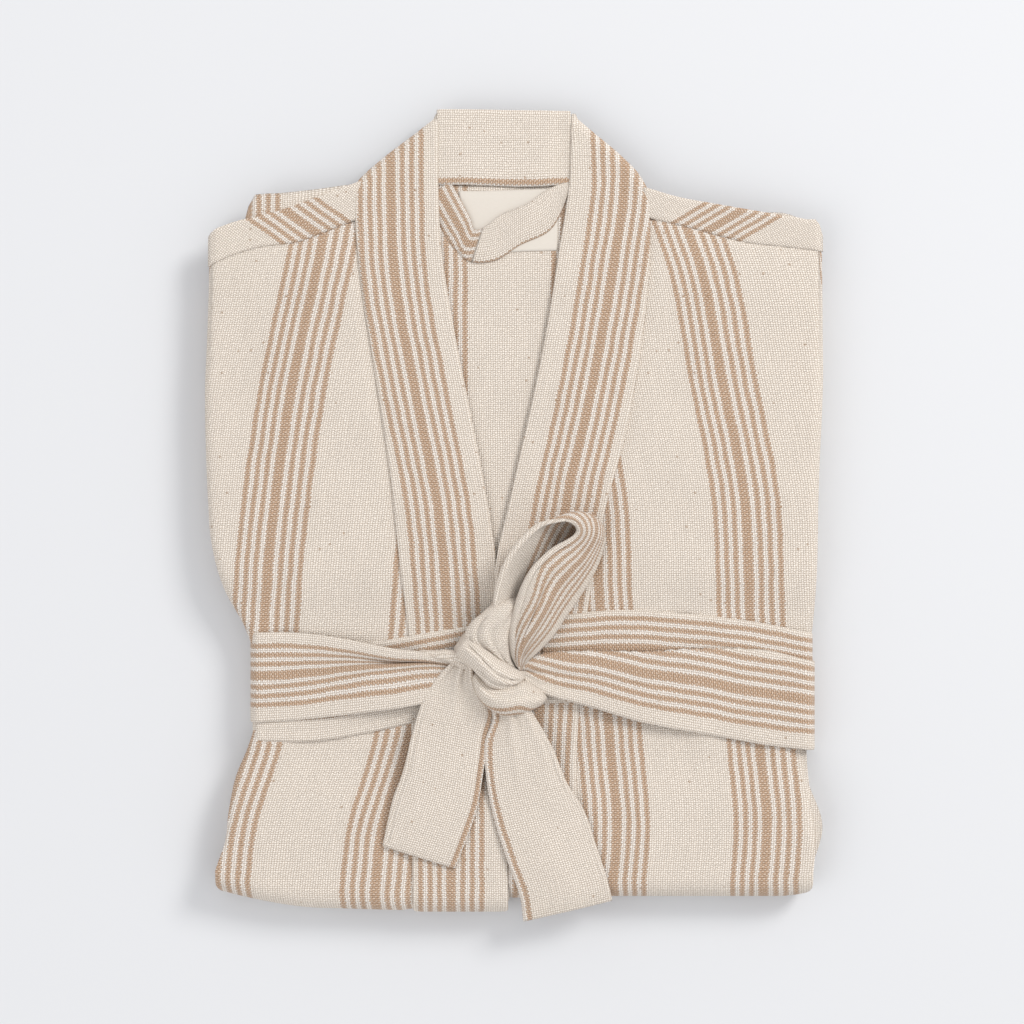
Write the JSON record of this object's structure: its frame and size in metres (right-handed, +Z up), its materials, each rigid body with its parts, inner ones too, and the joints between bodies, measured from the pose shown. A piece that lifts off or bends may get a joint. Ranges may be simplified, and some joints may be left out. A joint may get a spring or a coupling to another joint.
{
  "type": "bathrobe",
  "caption": "Kimono-style striped bathrobe folded flat and tied with its own sash, with a bow loop, hanging tails, neckband and hanging loop.",
  "frame": {"origin": "under the middle of the folded robe, on the surface that it lies on", "axes": "+Z up from the surface; +Y along the robe towards the collar, the longest extent; +X to the right as the front is looked at"},
  "size_m": [0.4688, 0.6194, 0.0636],
  "materials": {
    "robe_cloth": "coarse linen and cotton basket weave, oatmeal with groups of tan warp stripes",
    "sash_cloth": "the same cloth, cut along one stripe group, edges topstitched",
    "label_satin": "blank cream satin ribbon"
  },
  "bodies": {
    "robe": {"left_front_panel": "robe_cloth", "right_front_panel": "robe_cloth", "back_panel": "robe_cloth", "left_yoke": "robe_cloth", "right_yoke": "robe_cloth", "left_neckband": "robe_cloth", "right_neckband": "robe_cloth", "back_neckband": "robe_cloth", "left_sleeve": "robe_cloth", "right_sleeve": "robe_cloth", "left_cuff": "robe_cloth", "right_cuff": "robe_cloth", "left_pocket": "robe_cloth", "right_pocket": "robe_cloth", "left_belt_carrier": "robe_cloth", "right_belt_carrier": "robe_cloth", "neck_label": "label_satin", "sash_inner_wrap": "sash_cloth", "sash_outer_wrap": "sash_cloth", "sash_knot": "sash_cloth"},
    "loop": {"hanging_loop": "robe_cloth"},
    "bow": {"sash_bow_loop": "sash_cloth"},
    "left_tail": {"sash_left_tail": "sash_cloth"},
    "right_tail": {"sash_right_tail": "sash_cloth"}
  },
  "joints": [
    {"name": "loop_lift", "type": "hinge", "parent": "robe", "child": "loop", "pos_m": [-0.01, 0.2524, 0.0286], "axis": [-1, 0, 0], "range_deg": [0, 100]},
    {"name": "bow_lift", "type": "hinge", "parent": "robe", "child": "bow", "pos_m": [0.01, -0.078, 0.0496], "axis": [0.8788, -0.4772, 0], "range_deg": [0, 70]},
    {"name": "left_tail_lift", "type": "hinge", "parent": "robe", "child": "left_tail", "pos_m": [-0.0435, -0.151, 0.0342], "axis": [-1, 0, 0], "range_deg": [0, 85]},
    {"name": "right_tail_lift", "type": "hinge", "parent": "robe", "child": "right_tail", "pos_m": [-0.0015, -0.151, 0.0342], "axis": [-1, 0, 0], "range_deg": [0, 85]}
  ]
}
